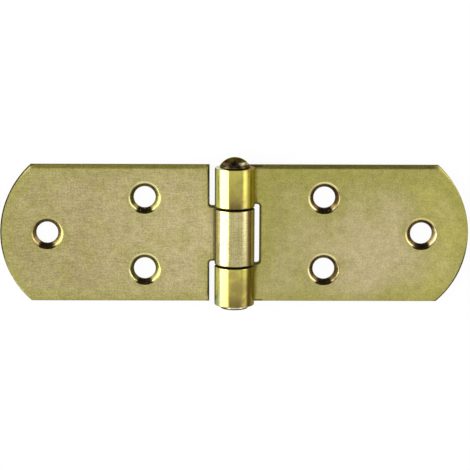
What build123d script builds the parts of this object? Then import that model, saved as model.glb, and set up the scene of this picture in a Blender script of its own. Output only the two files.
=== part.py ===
from build123d import *
from math import asin, cos, degrees, pi, radians, sin, tan
import os

# A fixed-pin table hinge of yellow-passivated sheet steel, laid open flat on its back.
# Millimetres, +Z up. X runs from tip to tip, and Y along the pin, with the pin's domed head at +Y.
# The origin is under the middle of the pin, on the plane of the leaves' backs, which is the mounting plane.

# Leaves
hinge_length = 120.0  # tip to tip, open flat
leaf_width = 35.5  # along the pin, and the length of the whole barrel too
sheet = 2.0  # thickness of the steel
tip_rise = 7.9  # how far each round end stands out past its two corners
die_roll = 0.5  # rounding of the front edges, which the blanking punch draws in
edge_break = 0.2  # chamfer of the back edges, which are the rims of the knuckles too

# Barrel
pin_diameter = 6.0
pin_clearance = 0.1  # radial, between the pin and the rolled bores
middle_knuckle = 14.3  # length of the single knuckle between the two outer ones
knuckle_gap = 0.55  # between neighbouring knuckles, along the pin
seam_gap = 0.15  # between the end of each roll and the front of its own leaf
notch_clearance = 1.3  # between the barrel and the leaf edge beside it
notch_corner = 0.6  # radius in the inner corners of the notches

# Screw holes
hole_diameter = 5.6
countersink_diameter = 8.2  # at the front of the leaf
countersink_angle = 90.0
tip_hole_inset = 12.0  # from the tip of a leaf to its single outer hole
pair_distance = 23.0  # from the pin's axis to the two inner holes
pair_spacing = 18.6  # between the two inner holes, along the pin

# Ends of the pin
head_overhang = 0.85  # radial, of the domed head at +Y past the shank
head_rim = 0.4  # height of the upright band below the dome
dome_height = 2.2
tail_overhang = 0.45  # radial, of the riveted tail at -Y past the shank
tail_height = 1.3
tail_rim = 0.9  # height of the upright band of the tail

# What follows from them
half_width = leaf_width / 2
tip_x = hinge_length / 2
bore_radius = pin_diameter / 2 + pin_clearance
barrel_radius = bore_radius + sheet
notch_x = barrel_radius + notch_clearance
half_middle = middle_knuckle / 2
half_room = half_middle + knuckle_gap

# For the modelling alone
overrun = 1.0  # how far a cutting shape runs past what it cuts
touching = 0.001  # anything closer than this counts as in one place


def on_roll(radius, angle):
    """A point of the rolled section, at an angle about the pin's axis, counted from the leaf's own side."""
    return (radius * cos(angle), barrel_radius + radius * sin(angle))


def flat_blank():
    """The flat of a leaf in one thickness of sheet, from under the pin's axis to the round tip."""
    corner_x = tip_x - tip_rise
    plan = make_face(
        [
            Polyline((corner_x, half_width), (0, half_width), (0, -half_width), (corner_x, -half_width)),
            ThreePointArc((corner_x, -half_width), (tip_x, 0), (corner_x, half_width)),
        ]
    )
    return extrude(plan, sheet)


def rolled_edge():
    """The rolled edge over the whole width: from under the axis round the far side, over the top and down."""
    top = pi / 2
    end = asin((sheet + seam_gap - barrel_radius) / barrel_radius)
    section = make_face(
        [
            Line((0, 0), (0, sheet)),
            ThreePointArc((0, sheet), on_roll(bore_radius, top), on_roll(bore_radius, end)),
            Line(on_roll(bore_radius, end), on_roll(barrel_radius, end)),
            ThreePointArc(on_roll(barrel_radius, end), on_roll(barrel_radius, top), (0, 0)),
        ]
    )
    return extrude(Plane.XZ * section, half_width, both=True)


def notch(low_y, high_y):
    """The room that a leaf gives a knuckle of the other leaf, between two places along the pin."""
    back_x = -barrel_radius - overrun
    plan = Pos((back_x + notch_x) / 2, (low_y + high_y) / 2) * Rectangle(notch_x - back_x, high_y - low_y)
    inner_corners = [v for v in plan.vertices() if v.X > 0 and abs(v.Y) < half_width]
    block = extrude(fillet(inner_corners, notch_corner), 2 * (barrel_radius + overrun))
    return Pos(0, 0, -overrun) * block


def screw_hole():
    """A through hole whose countersink opens on the front of the leaf."""
    sink_depth = (countersink_diameter - hole_diameter) / 2 / tan(radians(countersink_angle / 2))
    upward = (Align.CENTER, Align.CENTER, Align.MIN)
    through = Cylinder(hole_diameter / 2, sheet, align=upward)
    sink = Cone(hole_diameter / 2, countersink_diameter / 2, sink_depth, align=upward)
    return through + Pos(0, 0, sheet - sink_depth) * sink


def off_axis(edges):
    """The edges of a leaf's flat, less those under the pin's axis, where the flat runs over into the roll."""
    return edges.filter_by_position(Axis.X, touching, hinge_length)


def leaf(notches):
    """One leaf towards +X: blanked, its tongues rolled into knuckles, its edges broken, then drilled."""
    flat = flat_blank()
    roll = rolled_edge()
    for low_y, high_y in notches:
        flat -= notch(low_y, high_y)
        roll -= notch(low_y, high_y)

    # Rolling irons the punched edge flat again, so the rounding of the front ends where the roll begins.
    flat = fillet(off_axis(flat.faces().sort_by(Axis.Z)[-1].edges()), die_roll)
    piece = flat + roll
    piece = chamfer(off_axis(piece.faces().sort_by(Axis.Z)[0].edges()), edge_break)

    piece -= Pos(tip_x - tip_hole_inset, 0) * screw_hole()
    for side in (1, -1):
        piece -= Pos(pair_distance, side * pair_spacing / 2) * screw_hole()
    return piece


def cap(radius, edge_y, height, way):
    """The arc of a low dome on the pin's axis, from its edge to its top, which stands out along +Y or -Y."""
    sphere = (radius**2 + height**2) / (2 * height)
    edge_angle = degrees(asin((sphere - height) / sphere))
    return CenterArc((0, edge_y + way * (height - sphere)), sphere, way * edge_angle, way * (90 - edge_angle))


def turned_pin():
    """The pin, turned about +Y: domed head, plain shank through all the knuckles, low riveted tail."""
    shank = pin_diameter / 2
    head = shank + head_overhang
    tail = shank + tail_overhang
    head_edge = half_width + head_rim
    tail_edge = -half_width - tail_rim
    section = make_face(
        [
            cap(head, head_edge, dome_height, 1),
            Polyline((head, head_edge), (head, half_width), (shank, half_width)),
            Line((shank, half_width), (shank, -half_width)),
            Polyline((shank, -half_width), (tail, -half_width), (tail, tail_edge)),
            cap(tail, tail_edge, tail_height - tail_rim, -1),
            Line((0, -half_width - tail_height), (0, head_edge + dome_height)),
        ]
    )
    return Pos(0, 0, barrel_radius) * revolve(section, Axis.Y)


# The leaf with the middle knuckle lies towards -X, so it is made towards +X and mirrored.
past_edge = half_width + overrun
middle_knuckle_leaf = mirror(leaf([(half_middle, past_edge), (-past_edge, -half_middle)]), Plane.YZ)
outer_knuckle_leaf = leaf([(-half_room, half_room)])
hinge_pin = turned_pin()

os.makedirs("parts", exist_ok=True)
export_step(middle_knuckle_leaf, "parts/middle_knuckle_leaf.step")
export_step(outer_knuckle_leaf, "parts/outer_knuckle_leaf.step")
export_step(hinge_pin, "parts/hinge_pin.step")
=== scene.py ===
import math
from types import SimpleNamespace

import bpy
from mathutils import Matrix, Vector
from mathutils.geometry import delaunay_2d_cdt


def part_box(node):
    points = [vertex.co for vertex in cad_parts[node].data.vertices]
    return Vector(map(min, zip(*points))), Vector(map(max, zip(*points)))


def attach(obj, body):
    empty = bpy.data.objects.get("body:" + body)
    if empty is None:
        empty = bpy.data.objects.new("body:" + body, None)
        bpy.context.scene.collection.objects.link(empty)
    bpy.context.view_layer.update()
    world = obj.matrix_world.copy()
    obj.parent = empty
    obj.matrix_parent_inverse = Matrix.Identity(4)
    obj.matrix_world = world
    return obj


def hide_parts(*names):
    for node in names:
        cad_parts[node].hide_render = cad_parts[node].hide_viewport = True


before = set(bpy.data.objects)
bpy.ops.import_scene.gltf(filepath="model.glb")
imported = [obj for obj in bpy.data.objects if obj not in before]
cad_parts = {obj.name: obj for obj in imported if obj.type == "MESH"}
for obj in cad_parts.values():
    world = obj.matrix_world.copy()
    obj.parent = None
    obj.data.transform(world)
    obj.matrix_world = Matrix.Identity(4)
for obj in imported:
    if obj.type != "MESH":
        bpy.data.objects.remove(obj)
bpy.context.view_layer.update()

# Outer-knuckle leaf. A strip of 2 mm cold-rolled steel is blanked and pierced in one stroke, its three holes
# are countersunk from the front, and its two tongues are rolled up and over into the ends of the barrel.
# Zinc plating with a yellow passivation covers it, cut edges and all.
MM = 0.001
far_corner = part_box("outer_knuckle_leaf")[1]
tip = min(far_corner[0], -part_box("middle_knuckle_leaf")[0][0]) / MM
half_width = far_corner[1] / MM
barrel_r = far_corner[2] / MM / 2
sheet = 2.0
tip_rise = 7.9  # how far the round end stands out past its two corners
notch_edge = 6.4  # from the pin's axis
notch_corner = 0.6
middle_half = 7.15  # half of the middle knuckle, along the pin
knuckle_gap = 0.55
seam_gap = 0.15
edge_break = 0.2
hole_r = 2.8
hole_break = 0.1
hole_break_middle = 0.03
sink_r = 4.45
sink_slope = math.radians(45)
rim_round = 1.1
hole_places = ((48.0, 0.0), (23.0, 9.3), (23.0, -9.3))

# The punch draws in the front of every cut edge: wider and deeper beside the notches, and most of all along
# the slit edges of the strip. Rolling irons the edges of the tongues flat again.
punch_draw = 0.1
notch_draw_width = 0.2
notch_draw_depth = 0.15
notch_draw_end = 10.0
notch_draw_fade = 2.0
slit_draw_width = 0.95
slit_draw_depth = 0.55
slit_draw_reach = 9.0
slit_draw_bow = 0.65
ironed_reach = 3.0

# The roll is laid out along the middle of the sheet, in steps of about four degrees round the pin.
neutral_r = barrel_r - sheet / 2
roll_angle = math.radians(270) - math.asin((sheet + seam_gap - barrel_r) / barrel_r)
roll_steps = 76
roll_step = neutral_r * roll_angle / roll_steps
roll_end = -neutral_r * roll_angle

# The rest of the mesh goes by these steps, and keeps its points this far from corners, edges and holes.
flat_spacing = 2.5
tip_steps = 66
round_steps = 8
break_steps = 4
hole_turns = 72
corner_room = 0.3
notch_room = 1.3
grid_room = 1.2
front_inset = 0.48
draw_margin = 0.1
flat_margin = 0.3
wall_middle = 0.5  # height of the ring of points in the wall of a hole
cone_shares = (0.33, 0.67, 1.0)  # shares of the way down a countersink, for its rings of points
leaf_crease = 35.0  # degrees
same_place = 1e-6  # what is closer than this counts as one place
inside_only = 1  # the kind of triangulation that keeps to the inside of an outline


def rolled(along, across, depth):
    """Where a point of the flat blank is once the tongues are rolled. Along is under zero on a tongue."""
    if along >= 0:
        return (along, across, depth)
    turn = -along / neutral_r
    radius = barrel_r - depth
    return (-radius * math.sin(turn), across, barrel_r - radius * math.cos(turn))


def stations(start, stop):
    """Places along a straight cut edge: close together on the roll, and wider apart on the flat.

    Those on the flat keep clear of the corner beside a notch, where the slit edge is drawn in.
    """
    low, high = sorted((start, stop))
    on_roll = [-k * roll_step for k in range(roll_steps - 1)]
    on_flat = [flat_spacing * k for k in range(1, round(tip / flat_spacing))]
    inside = [p for p in on_roll if low + corner_room < p < high - corner_room]
    inside += [p for p in on_flat if low + notch_room < p < high - corner_room]
    return sorted(inside, reverse=start > stop)


def arc_steps(turn, count):
    """The angles from zero to a turn, in even steps."""
    return [turn * k / count for k in range(count + 1)]


def turned_corner(before, here, after):
    """The points of one corner of the cut: an arc in a notch's inner corner, or else the corner alone."""
    into = (Vector(here) - Vector(before)).normalized()
    away = (Vector(after) - Vector(here)).normalized()
    if into.cross(away) >= 0:
        return [here]
    centre = Vector(here) + notch_corner * (away - into)
    arc = []
    for turn in arc_steps(math.radians(90), round_steps):
        spot = centre - notch_corner * (away * math.cos(turn) - into * math.sin(turn))
        arc.append((spot.x, spot.y))
    return arc


def blank_edge(tongue_corners):
    """The cut outline of a blank, with the sheet on its left: the round tip, then tongues and notches."""
    tip_r = (half_width**2 + tip_rise**2) / (2 * tip_rise)
    half_turn = math.asin(half_width / tip_r)
    outline = []
    for k in range(tip_steps + 1):
        turn = half_turn * (2 * k / tip_steps - 1)
        outline.append((tip - tip_r + tip_r * math.cos(turn), tip_r * math.sin(turn)))
    corners = [outline[-1]] + tongue_corners + [outline[0]]
    for before, here, after in zip(corners, corners[1:], corners[2:] + [outline[1]]):
        corner = turned_corner(before, here, after)
        start = outline[-1]
        stop = corner[0]
        if abs(here[0] - before[0]) > abs(here[1] - before[1]):
            outline += [(p, here[1]) for p in stations(start[0], stop[0])]
        elif here[0] > 0:
            count = max(1, round(abs(stop[1] - start[1]) / flat_spacing))
            outline += [(here[0], start[1] + (stop[1] - start[1]) * k / count) for k in range(1, count)]
        outline += corner
    return outline[:-1]


def inward(outline):
    """For each point of an outline, the step into the sheet that takes it one unit from both its cuts."""
    steps = []
    for before, here, after in zip(outline[-1:] + outline[:-1], outline, outline[1:] + outline[:1]):
        a = (Vector(here) - Vector(before)).normalized()
        b = (Vector(after) - Vector(here)).normalized()
        left_a = Vector((-a.y, a.x))
        left_b = Vector((-b.y, b.x))
        steps.append((left_a + left_b) / (1 + left_a.dot(left_b)))
    return steps


def edge_section(along, across):
    """Front to back over a cut edge, as inset and depth: drawn-in front, wall, and broken back edge."""
    ironed = min(1.0, max(0.0, along / ironed_reach))
    slit = max(0.0, 1 - (half_width - abs(across)) / slit_draw_reach) ** 2
    beside_notch = min(1.0, max(0.0, (notch_draw_end - along) / notch_draw_fade))
    wide = punch_draw + max(notch_draw_width * beside_notch, slit_draw_width * slit) * ironed
    deep = punch_draw + max(notch_draw_depth * beside_notch, slit_draw_depth * slit) * ironed
    bow = 2 / (2 - slit_draw_bow * slit * ironed)
    section = [(max(front_inset, wide + draw_margin), sheet)]
    for turn in arc_steps(math.radians(90), round_steps):
        section.append((wide * (1 - math.sin(turn) ** bow), sheet - deep * (1 - math.cos(turn) ** bow)))
    for turn in arc_steps(math.radians(90), break_steps):
        section.append((edge_break * (1 - math.cos(turn)), edge_break * (1 - math.sin(turn))))
    section.append((flat_margin, 0.0))
    return section


def hole_section():
    """Front to back through a screw hole, as radius and depth: coined rim, countersink, wall, back rim."""
    section = [(sink_r + flat_margin, sheet)]
    for turn in arc_steps(sink_slope, round_steps):
        section.append((sink_r - rim_round * math.sin(turn), sheet - rim_round * (1 - math.cos(turn))))
    rim_r, rim_depth = section[-1]
    for share in cone_shares:
        inset = (rim_r - hole_r) * share
        section.append((rim_r - inset, rim_depth - inset * math.tan(sink_slope)))
    section.append((hole_r, wall_middle))
    section.append((hole_r, hole_break))
    section.append((hole_r + hole_break_middle, hole_break_middle))
    section.append((hole_r + hole_break, 0.0))
    section.append((hole_r + flat_margin, 0.0))
    return section


def flat_grid():
    """Places in even rows over the flat of a leaf, clear of its edges and holes."""
    places = []
    across_steps = round(half_width / flat_spacing)
    for i in range(1, round(tip / flat_spacing)):
        for j in range(-across_steps, across_steps + 1):
            along = flat_spacing * i
            across = flat_spacing * j
            end = tip - tip_rise * (across / half_width) ** 2
            from_hole = min(math.hypot(along - a, across - b) for a, b in hole_places) - sink_r
            gaps = (along - notch_edge, end - along, half_width - abs(across), from_hole)
            if min(gaps) > grid_room:
                places.append((along, across))
    return places


def flat_cover(points, edge, rims, grid):
    """Triangles over the flat of one side of a leaf, from its edge to the rims of its holes."""
    flat = [v for v in edge if points[v][0] >= -same_place]
    used = flat + [v for rim in rims for v in rim] + grid
    number = {v: k for k, v in enumerate(used)}
    cuts = []
    for loop in [flat] + rims:
        cuts += [(number[a], number[b]) for a, b in zip(loop, loop[1:] + loop[:1])]
    plan = [Vector(points[v][:2]) for v in used]
    found = delaunay_2d_cdt(plan, cuts, [[number[v] for v in flat]], inside_only, same_place)
    triangles = found[2]
    sources = found[3]
    cover = []
    for triangle in triangles:
        corners = [used[sources[c][0]] for c in triangle]
        over_a_hole = any(set(rim).issuperset(corners) for rim in rims)
        if not over_a_hole:
            cover.append(tuple(corners))
    return cover


def tongue_bands(points, edge):
    """Narrow bands across each tongue on one side of a leaf, which the roll bends round the pin."""
    bands = []
    run = []
    for before, here in zip(edge, edge[1:] + edge[:1]):
        on_tongue = points[here][0] < -same_place
        if on_tongue and not run:
            run = [before]
        if run:
            run.append(here)
        if run and not on_tongue:
            bands += [(run[k], run[k + 1], run[-k - 2], run[-k - 1]) for k in range(len(run) // 2 - 1)]
            run = []
    return bands


def steel_piece(name, points, faces, crease):
    """A piece from its points in millimetres, shaded smooth but for edges that turn more than the crease."""
    mesh = bpy.data.meshes.new(name)
    mesh.from_pydata([(x * MM, y * MM, z * MM) for x, y, z in points], [], faces)
    mesh.polygons.foreach_set("use_smooth", [True] * len(faces))
    mesh.set_sharp_from_angle(angle=math.radians(crease))
    piece = bpy.data.objects.new(name, mesh)
    bpy.context.scene.collection.objects.link(piece)
    return piece


def pressed_leaf(name, tongue_corners, hand):
    """A whole leaf as one closed mesh, which lies towards +X where hand is 1 and towards -X where it is -1.

    Each point keeps its place in the flat blank, how far it is from a cut edge and from the rim of the
    nearest countersink, and on which side of that hole it lies, along the blank and across it.
    """
    outline = blank_edge(tongue_corners)
    points = []
    faces = []

    def add(along, across, depth):
        points.append((along, across, depth))
        return len(points) - 1

    rings = []
    for (along, across), step in zip(outline, inward(outline)):
        ring = []
        for inset, depth in edge_section(along, across):
            ring.append(add(along + step.x * inset, across + step.y * inset, depth))
        rings.append(ring)
    for ring, following in zip(rings, rings[1:] + rings[:1]):
        for k in range(len(ring) - 1):
            faces.append((ring[k], ring[k + 1], following[k + 1], following[k]))

    turns = arc_steps(2 * math.pi, hole_turns)[:-1]
    holes = []
    for along, across in hole_places:
        loops = []
        for radius, depth in hole_section():
            circle = [(radius * math.cos(turn), radius * math.sin(turn)) for turn in turns]
            loops.append([add(along + x, across + y, depth) for x, y in circle])
        for loop, below in zip(loops, loops[1:]):
            for k in range(hole_turns):
                faces.append((loop[k], below[k], below[k - 1], loop[k - 1]))
        holes.append(loops)

    front = 0
    back = -1
    for side, depth in ((front, sheet), (back, 0.0)):
        edge = [ring[side] for ring in rings]
        rims = [loops[side] for loops in holes]
        grid = [add(along, across, depth) for along, across in flat_grid()]
        cover = flat_cover(points, edge, rims, grid) + tongue_bands(points, edge)
        faces += cover if side == front else [tuple(reversed(face)) for face in cover]

    if hand < 0:
        faces = [tuple(reversed(face)) for face in faces]
    bent = [Vector(rolled(*point)) for point in points]
    piece = steel_piece(name, [(hand * p.x, p.y, p.z) for p in bent], faces, leaf_crease)
    measures = {"from_edge": [], "from_hole": [], "hole_side": [], "hole_rise": []}
    for along, across, depth in points:
        from_hole, a, b = min((math.hypot(along - a, across - b), a, b) for a, b in hole_places)
        measures["from_edge"].append(min(math.hypot(along - a, across - b) for a, b in outline))
        measures["from_hole"].append(from_hole - sink_r)
        measures["hole_side"].append((along - a) / from_hole)
        measures["hole_rise"].append((across - b) / from_hole)
    for label, values in measures.items():
        piece.data.attributes.new(label, "FLOAT", "POINT")
        piece.data.attributes[label].data.foreach_set("value", values)
    piece.data.attributes.new("blank_place", "FLOAT_VECTOR", "POINT")
    piece.data.attributes["blank_place"].data.foreach_set("vector", [c for point in points for c in point])
    return piece


room_half = middle_half + knuckle_gap
outer_tongue_corners = [
    (roll_end, half_width),
    (roll_end, room_half),
    (notch_edge, room_half),
    (notch_edge, -room_half),
    (roll_end, -room_half),
    (roll_end, -half_width),
]
outer_leaf = pressed_leaf("outer_knuckle_sheet", outer_tongue_corners, 1)
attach(outer_leaf, "outer_leaf_with_pin")
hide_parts("outer_knuckle_leaf")


def link(tree, source, target):
    """Joins the output of one node to the input of another."""
    tree.links.new(source, target)


def new_group(name, inputs, outputs):
    """An empty shader node group with named sockets, and its own input and output nodes."""
    group = bpy.data.node_groups.new(name, "ShaderNodeTree")
    for label, kind, value in inputs:
        socket = group.interface.new_socket(name=label, in_out="INPUT", socket_type=kind)
        socket.default_value = value
    for label, kind in outputs:
        group.interface.new_socket(name=label, in_out="OUTPUT", socket_type=kind)
    return group, group.nodes.new("NodeGroupInput").outputs, group.nodes.new("NodeGroupOutput").inputs


def node(tree, kind, settings=None, **sockets):
    """A node with its settings, whose inputs are given values or joined to other nodes' outputs.

    An input goes by its name, with underscores for spaces, or by its number, as i0, i1 and so on.
    """
    made = tree.nodes.new(kind)
    for key, value in (settings or {}).items():
        setattr(made, key, value)
    for key, value in sockets.items():
        numbered = key[0] == "i" and key[1:].isdigit()
        socket = made.inputs[int(key[1:]) if numbered else key.replace("_", " ")]
        if isinstance(value, bpy.types.NodeSocket):
            link(tree, value, socket)
        else:
            socket.default_value = value
    return made


def reckon(tree, operation, a, b=0.0):
    """One sum with one or two values."""
    return node(tree, "ShaderNodeMath", {"operation": operation}, i0=a, i1=b).outputs[0]


def times(tree, value, *others):
    """A value or mask multiplied by others."""
    for other in others:
        value = reckon(tree, "MULTIPLY", value, other)
    return value


def plus(tree, value, *others):
    """A value with others added to it."""
    for other in others:
        value = reckon(tree, "ADD", value, other)
    return value


def reckon_vector(tree, operation, a, b):
    """One sum with two vectors. Its outputs are Vector and Value."""
    return node(tree, "ShaderNodeVectorMath", {"operation": operation}, i0=a, i1=b).outputs


def ramp(tree, value, low, high, at_low=0.0, at_high=1.0):
    """A soft step from at_low, where the value is low, to at_high, where it is high."""
    made = node(tree, "ShaderNodeMapRange", {"interpolation_type": "SMOOTHSTEP"},
                Value=value, From_Min=low, From_Max=high, To_Min=at_low, To_Max=at_high)
    return made.outputs["Result"]


def fall(tree, value, low, high, at_low=1.0):
    """A soft step down to nothing."""
    return ramp(tree, value, low, high, at_low, 0.0)


def blend_colour(tree, share, a, b):
    """Colour a, taken over by colour b as the share grows."""
    return node(tree, "ShaderNodeMix", {"data_type": "RGBA"}, i0=share, i6=a, i7=b).outputs[2]


def blend_value(tree, share, a, b):
    """Value a, taken over by value b as the share grows."""
    return node(tree, "ShaderNodeMix", {"data_type": "FLOAT"}, i0=share, i2=a, i3=b).outputs[0]


def cloud(tree, vector, scale, detail=2.0):
    """A cloudy pattern, whose values lie about one half."""
    made = node(tree, "ShaderNodeTexNoise", {"noise_dimensions": "3D"},
                Vector=vector, Scale=scale, Detail=detail)
    return made.outputs["Fac"]


def streaks(tree, vector, stretch, detail=1.0):
    """A cloudy pattern drawn out along one way."""
    return cloud(tree, reckon_vector(tree, "MULTIPLY", vector, stretch)["Vector"], 1.0, detail)


def wander(tree, value, reach):
    """A cloudy pattern's value as a shift to either side, by no more than the reach."""
    cloud_low = 0.3
    cloud_high = 0.7
    return ramp(tree, value, cloud_low, cloud_high, -reach, reach)


# The finish of cold-rolled strip under plating: a fine grain, faint hairlines along and across the strip,
# a soft mottle, and a few specks, which become painted glints.
grain_group, grain_in, grain_out = new_group(
    "strip_grain",
    [("Place", "NodeSocketVector", (0, 0, 0)), ("Grain Size", "NodeSocketFloat", 0.35)],
    [(label, "NodeSocketFloat") for label in ("Grain", "Hairlines", "Mottle", "Specks")],
)
along_strip = (0.3, 3.0, 1.0)
across_strip = (3.0, 0.3, 1.0)
across_drop = 0.09  # the hairlines across the strip are the fainter ones
hairline_levels = (0.4, 0.7)
speck_levels = (0.71, 0.84)
grain_scale = reckon(grain_group, "DIVIDE", 1.0, grain_in["Grain Size"])
lengthwise = streaks(grain_group, grain_in["Place"], along_strip)
crosswise = streaks(grain_group, grain_in["Place"], across_strip)
crosswise = reckon(grain_group, "SUBTRACT", crosswise, across_drop)
speckled = cloud(grain_group, grain_in["Place"], scale=2.6, detail=0.0)
link(grain_group, cloud(grain_group, grain_in["Place"], grain_scale, detail=1.0), grain_out["Grain"])
link(grain_group, reckon(grain_group, "MAXIMUM", lengthwise, crosswise), grain_out["Hairlines"])
link(grain_group, cloud(grain_group, grain_in["Place"], scale=0.45, detail=3.0), grain_out["Mottle"])
link(grain_group, ramp(grain_group, speckled, *speck_levels), grain_out["Specks"])

# The passivation film, whose thickness decides its tint: one body tint, a paler rosy cloud, another tint
# over the round end, and a deeper green towards cut edges. Drained lets that green reach further in at the
# side of the pin's head.
film_group, film_in, film_out = new_group(
    "passivation_film",
    [
        ("Place", "NodeSocketVector", (0, 0, 0)),
        ("Edge Gap", "NodeSocketFloat", 5.0),
        ("Seed", "NodeSocketFloat", 0.0),
        ("Body", "NodeSocketColor", (0.4, 0.35, 0.14, 1)),
        ("Rosy", "NodeSocketColor", (0.45, 0.34, 0.18, 1)),
        ("Rosy Middle", "NodeSocketVector", (36.0, -3.0, 0.0)),
        ("Rosy Reach", "NodeSocketFloat", 12.0),
        ("Round End", "NodeSocketColor", (0.34, 0.34, 0.08, 1)),
        ("Edge", "NodeSocketColor", (0.34, 0.34, 0.08, 1)),
        ("Edge Share", "NodeSocketFloat", 0.5),
        ("Drained", "NodeSocketFloat", 0.0),
        ("Patches", "NodeSocketFloat", 0.3),
    ],
    [("Colour", "NodeSocketColor")],
)
rosy_wander = 5.0
rosy_fade = (0.25, 1.0)
rosy_levels = (0.25, 0.6)
rosy_least = 0.7
rosy_patch_levels = (0.42, 0.62)
green_patch_levels = (0.45, 0.65)
end_wander = 6.0
end_start = (40.0, 54.0)
edge_wander = 1.5
edge_fade = (-0.5, 4.5)
seed = film_in["Seed"]
offset = node(film_group, "ShaderNodeCombineXYZ", X=seed, Y=seed, Z=seed).outputs[0]
shifted = reckon_vector(film_group, "ADD", film_in["Place"], offset)["Vector"]
broad = cloud(film_group, shifted, scale=0.06, detail=3.0)
patchy = cloud(film_group, shifted, scale=0.13, detail=3.0)
fine = cloud(film_group, shifted, scale=0.2, detail=3.0)
spread = node(film_group, "ShaderNodeSeparateXYZ", Vector=film_in["Place"]).outputs
off_middle = reckon_vector(film_group, "DISTANCE", film_in["Place"], film_in["Rosy Middle"])["Value"]
off_middle = plus(film_group, off_middle, wander(film_group, broad, rosy_wander))
rosy = fall(film_group, reckon(film_group, "DIVIDE", off_middle, film_in["Rosy Reach"]), *rosy_fade)
rosy = times(film_group, rosy, ramp(film_group, fine, *rosy_levels, rosy_least, 1.0))
at_end = ramp(film_group, plus(film_group, spread["X"], wander(film_group, broad, end_wander)), *end_start)
ragged = plus(film_group, film_in["Edge Gap"], wander(film_group, fine, edge_wander))
one_sided = times(film_group, ramp(film_group, spread["Y"], 0.0, half_width), film_in["Drained"])
ragged = reckon(film_group, "SUBTRACT", ragged, one_sided)
near_edge = times(film_group, fall(film_group, ragged, *edge_fade), film_in["Edge Share"])
rosy_patch = times(film_group, ramp(film_group, patchy, *rosy_patch_levels), film_in["Patches"])
green_patch = times(film_group, ramp(film_group, fine, *green_patch_levels), film_in["Patches"])
tinted = blend_colour(film_group, at_end, film_in["Body"], film_in["Round End"])
tinted = blend_colour(film_group, rosy, tinted, film_in["Rosy"])
tinted = blend_colour(film_group, rosy_patch, tinted, film_in["Rosy"])
tinted = blend_colour(film_group, green_patch, tinted, film_in["Edge"])
tinted = blend_colour(film_group, near_edge, tinted, film_in["Edge"])
link(film_group, tinted, film_out["Colour"])


# In the plating a pair of numbers gives the two ends of a change: in millimetres along the blank, across it,
# from a cut edge or from the rim of a countersink, in degrees round the pin, or in the levels of a pattern.
def read_blank(tree):
    """What the mesh says of each point, and masks for the roll, the cut walls and the coined countersinks.

    The angle round the pin is counted from the top of the barrel, upwards towards the leaf.
    """
    roll_start = (-0.5, 2.0)
    wall = (0.02, 0.1)
    coined_rim = (-0.32, -0.14)
    blank = SimpleNamespace()
    for label in ("from_edge", "from_hole", "hole_side", "hole_rise"):
        measure = node(tree, "ShaderNodeAttribute", {"attribute_name": label})
        setattr(blank, label, measure.outputs["Fac"])
    blank.place = node(tree, "ShaderNodeAttribute", {"attribute_name": "blank_place"}).outputs["Vector"]
    spread = node(tree, "ShaderNodeSeparateXYZ", Vector=blank.place).outputs
    blank.along = spread["X"]
    blank.across = spread["Y"]
    blank.on_roll = fall(tree, blank.along, *roll_start)
    blank.off_roll = ramp(tree, blank.along, *roll_start)
    from_below = times(tree, blank.along, -math.degrees(1 / neutral_r))
    blank.round_pin = reckon(tree, "SUBTRACT", from_below, 180.0)
    blank.cut = fall(tree, blank.from_edge, *wall)
    blank.coined = fall(tree, blank.from_hole, *coined_rim)
    return blank


def knuckle_skin(tree, blank, knuckle):
    """The skin of the roll: stains where rinse water dried, and bands of painted shade and highlight round
    the flanks.

    A band starts and is full at two angles, which are under zero on the side away from the leaf. It has one
    tint at the tail of the pin and one at its head. Skew lets those on the leaf's side slant along the pin.
    """
    pin_ends = (-half_width, half_width)
    underneath = (125.0, 150.0)
    stain_levels = (0.44, 0.66)
    spot_core = 0.2
    spot_share = 0.7

    stain = cloud(tree, blank.place, scale=0.2, detail=4.0)
    stain = ramp(tree, stain, *stain_levels, 0.0, knuckle["stained"])
    for along, across, reach in knuckle["rinse_spots"]:
        off_spot = reckon_vector(tree, "DISTANCE", blank.place, (along, across, 0.0))["Value"]
        ragged = wander(tree, cloud(tree, blank.place, scale=0.7, detail=3.0), reach / 2)
        spot = fall(tree, plus(tree, off_spot, ragged), spot_core * reach, reach, spot_share)
        stain = reckon(tree, "MAXIMUM", stain, spot)
    skin = blend_colour(tree, stain, knuckle["top"], knuckle["stain"])
    along_pin = ramp(tree, blank.across, *pin_ends)
    slant = ramp(tree, blank.across, *pin_ends, knuckle["skew"], -knuckle["skew"])
    leaf_side = plus(tree, blank.round_pin, slant)
    far_side = times(tree, blank.round_pin, -1.0)
    # The bands paint shade down the flanks and highlight where the soft box shines on the roll.
    for start, full, tail_tint, head_tint in knuckle["bands"]:
        angle = leaf_side if start > 0 else far_side
        painted_band = times(tree, ramp(tree, angle, abs(start), abs(full)), fall(tree, angle, *underneath))
        skin = blend_colour(tree, painted_band, skin, blend_colour(tree, along_pin, tail_tint, head_tint))
    return skin


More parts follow.
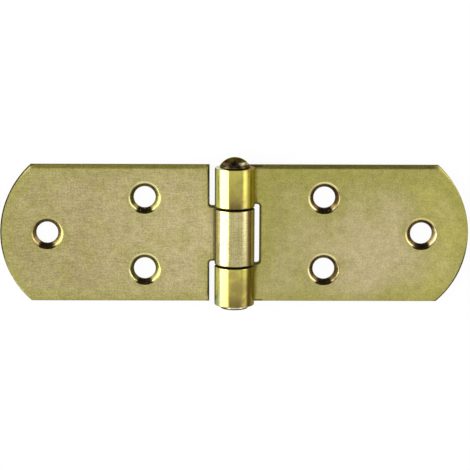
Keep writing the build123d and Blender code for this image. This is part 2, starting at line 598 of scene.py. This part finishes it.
def edge_film(tree, blank, film, knuckle, edges):
    """The film at the cut edges: dull walls, and painted shade in the notches, on the drawn-in slit edge and
    at the end.

    The slit edge meant is the one at the side of the pin's head. The end has painted shade along a stretch
    of its arc, whose mask is given back too. The barrel's end face at the pin's head has a tint on each
    side, pale on the side away from the leaf as a painted reflection, and is darkest under the head, in
    painted shade.
    """
    notch_lip = (0.3, 0.75)
    notch_stop = (7.0, 7.7)
    notch_shade_share = 0.9
    notch_shade_tint = (0.07, 0.055, 0.01, 1)
    slit_lip = (0.75, 0.95)
    slit_side = (16.0, 16.8)
    slit_start = (6.8, 7.8)
    slit_stop = (50.6, 51.8)
    wall_share = 0.85
    wall_tint = (0.1, 0.075, 0.03, 1)
    arc_lip = (0.2, 0.45)
    arc_start = (50.5, 52.5)
    arc_shade_tint = (0.022, 0.02, 0.003, 1)
    end_face_place = (half_width - 0.3, half_width - 0.1)
    end_face_turn = (-25.0, 25.0)
    head_shade = (25.0, 45.0)
    head_shade_tint = (0.03, 0.02, 0.01, 1)

    # Painted shade in the notches, where the leaf's edge meets the other leaf's knuckle.
    notch_shade = times(tree, fall(tree, blank.from_edge, *notch_lip, notch_shade_share),
                    fall(tree, blank.along, *notch_stop), blank.off_roll)
    film = blend_colour(tree, notch_shade, film, notch_shade_tint)
    # Painted shading on the slit edge at the side of the pin's head, deep on the outer leaf.
    slit_shade_mask = times(tree, fall(tree, blank.from_edge, *slit_lip), ramp(tree, blank.across, *slit_side),
                    ramp(tree, blank.along, *slit_start), fall(tree, blank.along, *slit_stop),
                    blank.off_roll)
    film = blend_colour(tree, slit_shade_mask, film, edges["slit"])
    film = blend_colour(tree, times(tree, blank.cut, wall_share), film, wall_tint)
    # Painted shade along a stretch of the round end's edge.
    on_arc = times(tree, fall(tree, blank.from_edge, *arc_lip), ramp(tree, blank.along, *arc_start),
                   ramp(tree, blank.across, *edges["arc_shade_span"]))
    film = blend_colour(tree, on_arc, film, arc_shade_tint)
    # The end face is pale on the side away from the leaf as a painted reflection, and in painted shade under
    # the head.
    end_face = blend_colour(tree, ramp(tree, blank.round_pin, *end_face_turn), *knuckle["end_face_film_and_reflection"])
    under_head = fall(tree, reckon(tree, "ABSOLUTE", blank.round_pin), *head_shade)
    end_face = blend_colour(tree, under_head, end_face, head_shade_tint)
    at_end = times(tree, blank.cut, blank.on_roll, ramp(tree, blank.across, *end_face_place))
    return blend_colour(tree, at_end, film, end_face), on_arc


def sink_film(tree, blank, film, sinks):
    """The film in the countersinks. Coining leaves a smooth rim, bright in part as a painted highlight, and
    the cone is dark in painted shade.

    The rim has painted shade on one side, a lighter painted shade on the other, and painted shade at its
    foot.
    """
    cone_depth = (-1.0, -0.75)
    shaded_side = (0.35, 0.8)
    shade_depth = (-1.3, -0.95)
    shade_rise = (0.35, 0.75)
    shade_edge = (-0.7, -0.2)
    far_shade_side = (-0.3, -0.8)
    far_shade_share = 0.4
    tip_hole = (34.0, 38.0)
    low_shade_rise = (-0.76, -0.9)
    low_shade_tint = (0.045, 0.03, 0.01, 1)

    at_tip = ramp(tree, blank.along, *tip_hole)
    towards_shade = times(tree, blank.hole_side, sinks["shaded_side"])
    # The rim tint is bright in part as a painted highlight.
    rim_tint = blend_colour(tree, at_tip, sinks["pair_rim"], sinks["tip_rim"])
    cone_tint = blend_colour(tree, at_tip, sinks["pair_cone"], sinks["tip_cone"])
    # Painted shade on the far side of the rim.
    far_shade = times(tree, ramp(tree, towards_shade, *far_shade_side), far_shade_share)
    rim_tint = blend_colour(tree, far_shade, rim_tint, cone_tint)
    film = blend_colour(tree, blank.coined, film, rim_tint)
    # Painted shade down the cone.
    film = blend_colour(tree, fall(tree, blank.from_hole, *cone_depth), film, cone_tint)
    shade_outward = ramp(tree, blank.from_hole, *shade_edge)
    pair_rim_shade = blend_colour(tree, shade_outward, *sinks["pair_rim_shade"])
    tip_rim_shade = blend_colour(tree, shade_outward, *sinks["tip_rim_shade"])
    # Painted shade over the rim on one side.
    rim_shade = times(tree, blank.coined, ramp(tree, towards_shade, *shaded_side),
                 ramp(tree, blank.from_hole, *shade_depth), fall(tree, blank.hole_rise, *shade_rise))
    film = blend_colour(tree, rim_shade, film, blend_colour(tree, at_tip, pair_rim_shade, tip_rim_shade))
    # Painted shade at the foot of each rim.
    one_sided = times(tree, blank.coined, ramp(tree, blank.hole_rise, *low_shade_rise))
    return blend_colour(tree, one_sided, film, low_shade_tint)


def flecked_film(tree, blank, film, grain, knuckle, flecks):
    """The film made lighter and darker by the strip's finish, with a few painted glints.

    On the knuckles the rolling tool leaves lines along the pin. Painted light lifts the knuckles and the
    leaf next to the barrel. A top shading paints the top of the roll lighter or darker: it starts at one
    place along the pin, is full at another, and goes on from there.
    """
    grain_levels = (0.2, 0.8)
    dark_line_share = -0.4
    mottle_share = 0.07
    coined_share = 0.3
    tool_lines = (2.6, 0.05, 1.0)
    knuckle_root = (5.5, 12.0)
    painted_root_light = 0.15
    top_shading_start = (-18.0, -12.0)
    top_shading_stop = (14.0, 22.0)
    glint_tint = (0.75, 0.7, 0.45, 1)
    grain_share = flecks["grain"]
    line_share = flecks["hairlines"]

    grained = ramp(tree, grain["Grain"], *grain_levels, -grain_share, grain_share)
    lined = ramp(tree, grain["Hairlines"], *hairline_levels, dark_line_share * line_share, line_share)
    shade = plus(tree, grained, lined, wander(tree, grain["Mottle"], mottle_share))
    shade = times(tree, shade, ramp(tree, blank.off_roll, 0.0, 1.0, knuckle["grain"], 1.0))
    scored = wander(tree, streaks(tree, blank.place, tool_lines, detail=2.0), knuckle["scored"])
    shade = plus(tree, shade, times(tree, scored, blank.on_roll))
    # Painted light over the knuckles and the leaf next to the barrel, fading out along the leaf.
    shade = plus(tree, shade, fall(tree, blank.along, *knuckle_root, painted_root_light))
    # Painted shade and light along the top of each knuckle.
    on_top = times(tree, ramp(tree, blank.round_pin, *top_shading_start), fall(tree, blank.round_pin, *top_shading_stop),
                   blank.on_roll)
    for start, full, change in knuckle["top_shading"]:
        shade = plus(tree, shade, times(tree, on_top, ramp(tree, blank.across, start, full, 0.0, change)))
    shade = times(tree, shade, ramp(tree, blank.coined, 0.0, 1.0, 1.0, coined_share))
    strength = plus(tree, shade, 1.0)
    flecked = node(tree, "ShaderNodeVectorMath", {"operation": "SCALE"}, i0=film, Scale=strength).outputs[0]
    # Painted glints: specks of pale colour.
    glint = times(tree, grain["Specks"], blank.off_roll, flecks["glints"])
    return blend_colour(tree, glint, flecked, glint_tint)


def plated_sheet(name, tints, knuckle, sinks, edges, flecks):
    """Yellow-passivated zinc on rolled strip: satin on the flat, burnished by rolling on the knuckles.

    The foot shade is painted shade where the barrel comes down on the leaf. Polish is the roughness of the
    knuckles at the tail of the pin and at its head.
    """
    foot_shade_start = 5.2
    foot_shade_share = 0.8
    hole_gap = 2.0  # the film greens less towards the holes than towards the cut edges
    satin_roughness = (0.42, 0.35)
    wall_roughness = 0.45
    arc_roughness = 0.2
    coined_roughness = 0.24
    hairline_relief = 0.5
    worked_relief = 0.2
    grain_height = 0.003 * MM
    dent_height = 0.02 * MM
    dent_stretch = (0.4, 0.2, 1.0)

    material = bpy.data.materials.new(name)
    material.use_nodes = True
    tree = material.node_tree
    shader = tree.nodes["Principled BSDF"]
    shader.inputs["Metallic"].default_value = 1.0
    shader.inputs["Specular Tint"].default_value = (0.6, 0.6, 0.5, 1)
    blank = read_blank(tree)
    grain = node(tree, "ShaderNodeGroup", {"node_tree": grain_group},
                 Place=blank.place, Grain_Size=0.35).outputs
    edge_gap = reckon(tree, "MINIMUM", blank.from_edge, plus(tree, blank.from_hole, hole_gap))
    film = node(tree, "ShaderNodeGroup", {"node_tree": film_group},
                Place=blank.place, Edge_Gap=edge_gap, **tints).outputs["Colour"]
    film = blend_colour(tree, blank.on_roll, film, knuckle_skin(tree, blank, knuckle))
    # Painted shade on the leaf where the barrel comes down on it.
    foot_shade = fall(tree, blank.along, foot_shade_start, knuckle["foot_shade_reach"], foot_shade_share)
    film = blend_colour(tree, times(tree, foot_shade, blank.off_roll), film, knuckle["foot_shade"])
    film, on_arc = edge_film(tree, blank, film, knuckle, edges)
    film = sink_film(tree, blank, film, sinks)
    link(tree, flecked_film(tree, blank, film, grain, knuckle, flecks), shader.inputs["Base Color"])

    satin = ramp(tree, grain["Hairlines"], *hairline_levels, *satin_roughness)
    polish = ramp(tree, blank.across, -half_width, half_width, *knuckle["polish"])
    sheen = blend_value(tree, blank.on_roll, satin, polish)
    sheen = blend_value(tree, blank.cut, sheen, wall_roughness)
    sheen = blend_value(tree, on_arc, sheen, arc_roughness)
    sheen = blend_value(tree, blank.coined, sheen, coined_roughness)
    link(tree, sheen, shader.inputs["Roughness"])

    relief = plus(tree, grain["Grain"], times(tree, grain["Hairlines"], hairline_relief))
    unworked = times(tree, blank.off_roll, reckon(tree, "SUBTRACT", 1.0, blank.coined))
    relief = times(tree, relief, ramp(tree, unworked, 0.0, 1.0, worked_relief, 1.0))
    grained = node(tree, "ShaderNodeBump", Strength=0.5, Distance=grain_height, Height=relief)
    dents = times(tree, streaks(tree, blank.place, dent_stretch), blank.on_roll)
    dented = node(tree, "ShaderNodeBump", Strength=1.0, Distance=dent_height, Height=dents,
                  Normal=grained.outputs["Normal"])
    link(tree, dented.outputs["Normal"], shader.inputs["Normal"])
    return material


outer_tints = {
    "Seed": 31.0,
    "Body": (0.394, 0.354, 0.123, 1),
    "Rosy": (0.521, 0.438, 0.237, 1),
    "Rosy_Middle": (32.0, -5.0, 2.0),
    "Rosy_Reach": 21.0,
    "Round_End": (0.467, 0.423, 0.123, 1),
    "Edge": (0.34, 0.315, 0.073, 1),
    "Edge_Share": 0.65,
    "Drained": 5.0,
    "Patches": 0.3,
}
outer_knuckles = {
    "top": (0.355, 0.315, 0.073, 1),
    "stain": (0.22, 0.155, 0.05, 1),
    "stained": 0.7,
    "rinse_spots": [(-12.7, 9.3, 2.8), (-13.4, -16.6, 3.0), (-16.6, 17.2, 2.2)],
    "skew": 3.5,
    # Bands of painted shade down the flanks and of painted highlight where the soft box shines.
    "bands": [
        (36, 46, (0.08, 0.052, 0.009, 1), (0.3, 0.24, 0.022, 1)),
        (52, 62, (0.2, 0.145, 0.03, 1), (0.36, 0.29, 0.055, 1)),
        (-16, -19, (0.46, 0.42, 0.1, 1), (0.48, 0.45, 0.13, 1)),
        (-36, -47, (0.44, 0.44, 0.19, 1), (0.46, 0.46, 0.25, 1)),
        (-50, -57, (0.3, 0.32, 0.14, 1), (0.23, 0.25, 0.155, 1)),
        (-68, -76, (0.035, 0.036, 0.015, 1), (0.035, 0.036, 0.015, 1)),
    ],
    # Painted shade on the leaf beside the barrel.
    "foot_shade": (0.2, 0.16, 0.025, 1),
    "foot_shade_reach": 6.2,
    "grain": 0.2,
    "scored": 0.05,
    # Painted shade and light along the top of the knuckles.
    "top_shading": [
        (-18.5, -18.0, -0.4),
        (-17.5, -14.0, 0.5),
        (-14.0, -8.0, 0.4),
        (-5.0, 5.0, -1.05),
        (7.7, 10.5, 0.55),
        (12.5, 17.5, 0.35),
    ],
    "polish": (0.22, 0.14),
    # The pale end-face tint is a painted reflection.
    "end_face_film_and_reflection": [(0.75, 0.72, 0.6, 1), (0.3, 0.16, 0.07, 1)],
}
# Countersink tints: rims bright in part as a painted highlight, cones and shaded rims in painted shade.
outer_sinks = {
    "shaded_side": 1,
    "pair_rim": (0.8, 0.7, 0.34, 1),
    "pair_rim_shade": [(0.2, 0.15, 0.065, 1), (0.21, 0.167, 0.077, 1)],
    "pair_cone": (0.14, 0.095, 0.035, 1),
    "tip_rim": (0.74, 0.63, 0.25, 1),
    "tip_rim_shade": [(0.3, 0.265, 0.142, 1), (0.265, 0.23, 0.125, 1)],
    "tip_cone": (0.15, 0.1, 0.04, 1),
}
# The slit edge at the pin's head and a stretch of the round end carry painted shade.
outer_edges = {"slit": (0.235, 0.205, 0.045, 1), "arc_shade_span": (0.0, -8.0)}
outer_flecks = {"grain": 0.17, "hairlines": 0.05, "glints": 0.3}
outer_plating = plated_sheet(
    "outer_leaf_plating", outer_tints, outer_knuckles, outer_sinks, outer_edges, outer_flecks
)
outer_leaf.data.materials.append(outer_plating)

# Middle-knuckle leaf. The same blank with one tongue in the middle, rolled into the knuckle that turns on
# the pin between the other two. It comes from another plating batch of the same yellow passivation, a shade
# more tan.
middle_tongue_corners = [
    (notch_edge, half_width),
    (notch_edge, middle_half),
    (roll_end, middle_half),
    (roll_end, -middle_half),
    (notch_edge, -middle_half),
    (notch_edge, -half_width),
]
middle_leaf = pressed_leaf("middle_knuckle_sheet", middle_tongue_corners, -1)
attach(middle_leaf, "middle_leaf")
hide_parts("middle_knuckle_leaf")
middle_tints = {
    "Seed": 4.0,
    "Body": (0.385, 0.319, 0.149, 1),
    "Rosy": (0.506, 0.427, 0.217, 1),
    "Rosy_Middle": (10.0, -2.0, 2.0),
    "Rosy_Reach": 36.0,
    "Round_End": (0.36, 0.302, 0.137, 1),
    "Edge": (0.355, 0.332, 0.085, 1),
    "Edge_Share": 0.7,
    "Drained": 0.0,
    "Patches": 0.35,
}
middle_knuckle = {
    "top": (0.42, 0.37, 0.172, 1),
    "stain": (0.3, 0.26, 0.1, 1),
    "stained": 0.5,
    "rinse_spots": [],
    "skew": 0.0,
    # Bands of painted shade down the flanks and of painted highlight where the soft box shines.
    "bands": [
        (15, 18, (0.46, 0.42, 0.15, 1), (0.46, 0.42, 0.15, 1)),
        (36, 47, (0.46, 0.43, 0.26, 1), (0.46, 0.43, 0.26, 1)),
        (-19, -25, (0.36, 0.31, 0.145, 1), (0.36, 0.31, 0.145, 1)),
        (51, 58, (0.21, 0.202, 0.19, 1), (0.21, 0.202, 0.19, 1)),
        (62, 72, (0.05, 0.042, 0.016, 1), (0.05, 0.042, 0.016, 1)),
        (-34, -45, (0.12, 0.085, 0.022, 1), (0.14, 0.1, 0.026, 1)),
        (-50, -60, (0.32, 0.27, 0.14, 1), (0.32, 0.27, 0.14, 1)),
    ],
    # Painted shade on the leaf beside the barrel.
    "foot_shade": (0.14, 0.11, 0.035, 1),
    "foot_shade_reach": 5.7,
    "grain": 0.9,
    "scored": 0.13,
    "top_shading": [],
    "polish": (0.16, 0.16),
    "end_face_film_and_reflection": [(0.1, 0.075, 0.03, 1), (0.1, 0.075, 0.03, 1)],
}
# Countersink tints: rims bright in part as a painted highlight, cones and shaded rims in painted shade.
middle_sinks = {
    "shaded_side": -1,
    "pair_rim": (0.76, 0.7, 0.34, 1),
    "pair_rim_shade": [(0.36, 0.34, 0.107, 1), (0.27, 0.26, 0.09, 1)],
    "pair_cone": (0.17, 0.15, 0.04, 1),
    "tip_rim": (0.5, 0.42, 0.17, 1),
    "tip_rim_shade": [(0.36, 0.3, 0.1, 1), (0.27, 0.235, 0.08, 1)],
    "tip_cone": (0.18, 0.12, 0.045, 1),
}
# The slit edge at the pin's head carries a faint painted shading, and a stretch of the round end painted
# shade.
middle_edges = {"slit": (0.38, 0.33, 0.068, 1), "arc_shade_span": (-12.0, -2.0)}
middle_flecks = {"grain": 0.22, "hairlines": 0.12, "glints": 0.5}
middle_plating = plated_sheet(
    "middle_leaf_plating", middle_tints, middle_knuckle, middle_sinks, middle_edges, middle_flecks
)
middle_leaf.data.materials.append(middle_plating)

# Hinge pin. A 6 mm steel pin with a domed head at one end, pushed through all three knuckles and riveted
# over at the other end, so that it can't be drawn out. Its heads are near black, a painted dark
# reflection, and its shank is painted near black as shade where it shows between the knuckles.
pin_r = 3.0
head_r = 3.85
head_rim = 0.4
dome_rise = 2.2
tail_r = 3.45
tail_rim = 0.9
tail_rise = 0.4
rim_edge = 0.18  # how far down its rim the upper edge of a head is rounded
seat_edge = 0.08
seat_edge_middle = 0.02
dome_steps = 24
rim_steps = 5
pin_turns = 96
pin_crease = 50.0


def dome_arc(edge, rim_y, rise, way):
    """Points of a low dome from its edge to its top, as radius and place along the pin."""
    ball = (edge**2 + rise**2) / (2 * rise)
    spread = math.asin(edge / ball)
    arc = []
    for k in range(dome_steps + 1):
        turn = spread * (1 - k / dome_steps)
        arc.append((ball * math.sin(turn), rim_y + way * (ball * math.cos(turn) - ball + rise)))
    return arc


def head_section(edge, rim, rise, way):
    """One end of the pin from shank to top: the seat, the upright rim with rounded edges, and the dome."""
    seat = way * half_width
    section = [
        (pin_r, seat),
        (edge - seat_edge, seat),
        (edge - seat_edge_middle, seat + way * seat_edge_middle),
        (edge, seat + way * seat_edge),
    ]
    dome = dome_arc(edge, seat + way * rim, rise, way)
    down = Vector((edge, seat + way * (rim - rim_edge)))
    corner = Vector(dome[0])
    over = Vector(dome[1])
    for k in range(rim_steps + 1):
        share = k / rim_steps
        spot = down.lerp(corner, share).lerp(corner.lerp(over, share), share)
        section.append((spot.x, spot.y))
    return section + dome[2:]


tail_section = head_section(tail_r, tail_rim, tail_rise, -1)
pin_section = tail_section[::-1] + head_section(head_r, head_rim, dome_rise, 1)
rows = pin_section[1:-1]
pin_points = []
pin_faces = []
for radius, along in rows:
    for turn in arc_steps(2 * math.pi, pin_turns)[:-1]:
        pin_points.append((radius * math.cos(turn), along, barrel_r + radius * math.sin(turn)))
for row in range(len(rows) - 1):
    here = row * pin_turns
    there = here + pin_turns
    for k in range(pin_turns):
        following = (k + 1) % pin_turns
        pin_faces.append((here + k, there + k, there + following, here + following))
for end, row in ((0, 0), (-1, len(rows) - 1)):
    here = row * pin_turns
    top = len(pin_points)
    pin_points.append((0, pin_section[end][1], barrel_r))
    for k in range(pin_turns):
        fan = (top, here + k, here + (k + 1) % pin_turns)
        pin_faces.append(fan if end == 0 else fan[::-1])
pin = steel_piece("riveted_pin", pin_points, pin_faces, pin_crease)
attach(pin, "outer_leaf_with_pin")
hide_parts("hinge_pin")

# A ring on the dome carries a painted highlight on its right, and a dim painted reflection on its left.
# The peened band of the tail has a painted highlight on its right too.
dark_reflection_film = (0.018, 0.011, 0.005, 1)
brown_reflection_film = (0.1, 0.078, 0.03, 1)
shank_shade = (0.02, 0.017, 0.012, 1)
ring_reflection_left = (0.2, 0.145, 0.11, 1)
ring_highlight_right = (0.85, 0.75, 0.52, 1)
peened_left = (0.06, 0.05, 0.03, 1)
peened_highlight = (0.8, 0.72, 0.5, 1)
shank_end = (half_width - 0.2, half_width - 0.1)
dome_start = (half_width + head_rim - 0.05, half_width + head_rim + 0.1)
ring_start = (head_r - 1.1, head_r - 0.75)
ring_stop = (head_r - 0.5, head_r - 0.25)
ring_break = (0.4, 1.6)
ring_sides = (-0.5, 0.5)
peened_start = (-half_width - tail_rim + 0.25, -half_width - tail_rim + 0.4)
peened_stop = (-half_width - 0.3, -half_width - 0.15)
peened_sides = (-2.2, -0.4)
mottle_levels = (0.35, 0.65)
ring_highlight_levels = (0.4, 0.6)
ring_highlight_least = 0.3
pin_grain_levels = (0.3, 0.7)
pin_roughness = (0.24, 0.16)
shank_roughness = 0.55
pin_grain_height = 0.006 * MM
pin_material = bpy.data.materials.new("pin_plating")
pin_material.use_nodes = True
tree = pin_material.node_tree
shader = tree.nodes["Principled BSDF"]
shader.inputs["Metallic"].default_value = 1.0
shader.inputs["Specular Tint"].default_value = (0.55, 0.49, 0.28, 1)
spot = node(tree, "ShaderNodeTexCoord").outputs["Object"]
spot = node(tree, "ShaderNodeVectorMath", {"operation": "SCALE"}, i0=spot, Scale=1 / MM).outputs[0]
grain = node(tree, "ShaderNodeGroup", {"node_tree": grain_group}, Place=spot, Grain_Size=0.6).outputs
reach = node(tree, "ShaderNodeSeparateXYZ", Vector=spot).outputs
height = reckon(tree, "SUBTRACT", reach["Z"], barrel_r)
off_axis = plus(tree, times(tree, reach["X"], reach["X"]), times(tree, height, height))
off_axis = reckon(tree, "SQRT", off_axis)
mottled = ramp(tree, cloud(tree, spot, scale=0.45, detail=4.0), *mottle_levels)
# The heads' dark mottled film is a painted dark reflection.
film = blend_colour(tree, mottled, dark_reflection_film, brown_reflection_film)
# Painted highlight and painted reflection in a ring on the dome.
ring_highlight = times(tree, ramp(tree, off_axis, *ring_start), fall(tree, off_axis, *ring_stop),
               ramp(tree, reach["Y"], *dome_start),
               ramp(tree, reckon(tree, "ABSOLUTE", reach["X"]), *ring_break),
               ramp(tree, cloud(tree, spot, scale=0.6, detail=3.0), *ring_highlight_levels, ring_highlight_least, 1.0))
ring_highlight_tint = blend_colour(tree, ramp(tree, reach["X"], *ring_sides), ring_reflection_left, ring_highlight_right)
film = blend_colour(tree, ring_highlight, film, ring_highlight_tint)
peened = times(tree, ramp(tree, reach["Y"], *peened_start), fall(tree, reach["Y"], *peened_stop))
# Painted highlight on the right of the peened band.
peened_highlight_tint = blend_colour(tree, ramp(tree, reach["X"], *peened_sides), peened_left, peened_highlight)
film = blend_colour(tree, peened, film, peened_highlight_tint)
# Painted shade over the shank, which shows only in the gaps between the knuckles.
shank_shade_mask = fall(tree, reckon(tree, "ABSOLUTE", reach["Y"]), *shank_end)
link(tree, blend_colour(tree, shank_shade_mask, film, shank_shade), shader.inputs["Base Color"])
polish = ramp(tree, grain["Grain"], *pin_grain_levels, *pin_roughness)
link(tree, blend_value(tree, shank_shade_mask, polish, shank_roughness), shader.inputs["Roughness"])
bump = node(tree, "ShaderNodeBump", Strength=0.5, Distance=pin_grain_height, Height=grain["Grain"])
link(tree, bump.outputs["Normal"], shader.inputs["Normal"])
pin.data.materials.append(pin_material)

# Table. A broad sheet of white card under the hinge, which shows white behind it and through its holes and
# keeps its soft shadow.
table_half = 6.0
table_z = -0.0002
seen_white = 0.94  # share of plain white in what is seen of the card, and the rest is the card as it is lit
card_tints = ((0.80, 0.80, 0.79, 1), (0.84, 0.84, 0.83, 1))


def flat_card(name, corners):
    """A flat card between four corners, in metres."""
    mesh = bpy.data.meshes.new(name)
    mesh.from_pydata(corners, [], [(0, 1, 2, 3)])
    card = bpy.data.objects.new(name, mesh)
    bpy.context.scene.collection.objects.link(card)
    return card


table_corners = [
    (-table_half, -table_half, table_z),
    (table_half, -table_half, table_z),
    (table_half, table_half, table_z),
    (-table_half, table_half, table_z),
]
table = flat_card("white_card", table_corners)
table_material = bpy.data.materials.new("white_card")
table_material.use_nodes = True
tree = table_material.node_tree
tree.nodes.clear()
rays = node(tree, "ShaderNodeLightPath").outputs
seen = reckon(tree, "MAXIMUM", rays["Is Glossy Ray"], rays["Is Transmission Ray"])
seen = reckon(tree, "MAXIMUM", rays["Is Camera Ray"], seen)
fibres = cloud(tree, node(tree, "ShaderNodeTexCoord").outputs["Object"], scale=60.0)
matt = node(tree, "ShaderNodeBsdfDiffuse", Color=blend_colour(tree, fibres, *card_tints)).outputs[0]
glow = node(tree, "ShaderNodeEmission", Color=(1, 1, 1, 1), Strength=1.0).outputs[0]
mixed = node(tree, "ShaderNodeMixShader", i0=times(tree, seen, seen_white), i1=matt, i2=glow)
link(tree, mixed.outputs[0], node(tree, "ShaderNodeOutputMaterial").inputs["Surface"])
table.data.materials.append(table_material)

# Studio. A white room with a broad soft box on the left, two on the right that overlap, and three fills
# that stand askew, for views from other sides. A grey card is stood up beyond the domed end of the pin,
# where only the polished metal shows it.
room_white = 0.95
world = bpy.data.worlds.new("white_room")
world.use_nodes = True
bpy.context.scene.world = world
world.node_tree.nodes["Background"].inputs["Color"].default_value = (1, 1, 1, 1)
world.node_tree.nodes["Background"].inputs["Strength"].default_value = room_white


def soft_box(name, off_zenith, distance, centre_y, width, length, radiance, turn=0.0):
    """An area lamp that faces the hinge at an angle from straight above, then swung round the upright."""
    lamp = bpy.data.lights.new(name, "AREA")
    lamp.shape = "RECTANGLE"
    lamp.size = width
    lamp.size_y = length
    lamp.energy = radiance * math.pi * width * length
    box = bpy.data.objects.new(name, lamp)
    lean = math.radians(off_zenith)
    stand = Matrix.Translation((distance * math.sin(lean), centre_y, distance * math.cos(lean)))
    box.matrix_world = Matrix.Rotation(math.radians(turn), 4, "Z") @ stand @ Matrix.Rotation(lean, 4, "Y")
    box.visible_camera = False
    bpy.context.scene.collection.objects.link(box)


soft_box("left_soft_box", off_zenith=-63.0, distance=0.5, centre_y=0.005,
         width=0.48, length=0.29, radiance=4.5)
soft_box("right_soft_box", off_zenith=61.0, distance=0.6, centre_y=0.066,
         width=0.36, length=0.37, radiance=0.9)
soft_box("right_strip", off_zenith=60.0, distance=0.58, centre_y=0.066,
         width=0.18, length=0.37, radiance=1.1)
fill = {"distance": 0.6, "centre_y": 0.0, "width": 0.28}
soft_box("left_rear_fill", off_zenith=-71.0, length=0.4, radiance=3.1, turn=-35.0, **fill)
soft_box("left_front_fill", off_zenith=-71.0, length=0.22, radiance=3.1, turn=28.0, **fill)
soft_box("right_rear_fill", off_zenith=71.0, length=0.4, radiance=1.6, turn=36.0, **fill)

grey_half = 0.39
grey_foot_y = 0.55
grey_top_y = 0.28
grey_height = 0.75
grey_tints = ((0.2, 0.2, 0.2, 1), (0.23, 0.23, 0.23, 1))
grey_corners = [
    (-grey_half, grey_foot_y, 0.0),
    (grey_half, grey_foot_y, 0.0),
    (grey_half, grey_top_y, grey_height),
    (-grey_half, grey_top_y, grey_height),
]
grey_card = flat_card("grey_card", grey_corners)
grey_card.visible_camera = False
grey_material = bpy.data.materials.new("grey_card")
grey_material.use_nodes = True
tree = grey_material.node_tree
shader = tree.nodes["Principled BSDF"]
nap = cloud(tree, node(tree, "ShaderNodeTexCoord").outputs["Object"], scale=40.0)
link(tree, blend_colour(tree, nap, *grey_tints), shader.inputs["Base Color"])
shader.inputs["Roughness"].default_value = 0.9
grey_card.data.materials.append(grey_material)

# Camera. A long lens over the hinge, which stands off the upright a little towards the domed end of the pin,
# and a hair aside. It aims at the leaves near the middle of the barrel.
lens_distance = 0.6
camera_lens = bpy.data.cameras.new("camera")
camera_lens.sensor_width = 36.0
camera_lens.lens = 179.21
camera = bpy.data.objects.new("camera", camera_lens)
aim = Vector((0.000154, -0.000355, 0.002))
lean_back = Matrix.Rotation(math.radians(-11.07), 4, "X")
aside = Matrix.Rotation(math.radians(-0.84), 4, "Y")
level = Matrix.Rotation(math.radians(0.138), 4, "Z")
turned = lean_back @ aside @ level
camera.matrix_world = Matrix.Translation(aim + lens_distance * turned.col[2].to_3d()) @ turned
bpy.context.scene.collection.objects.link(camera)
bpy.context.scene.camera = camera
bpy.context.scene.view_settings.view_transform = "Standard"
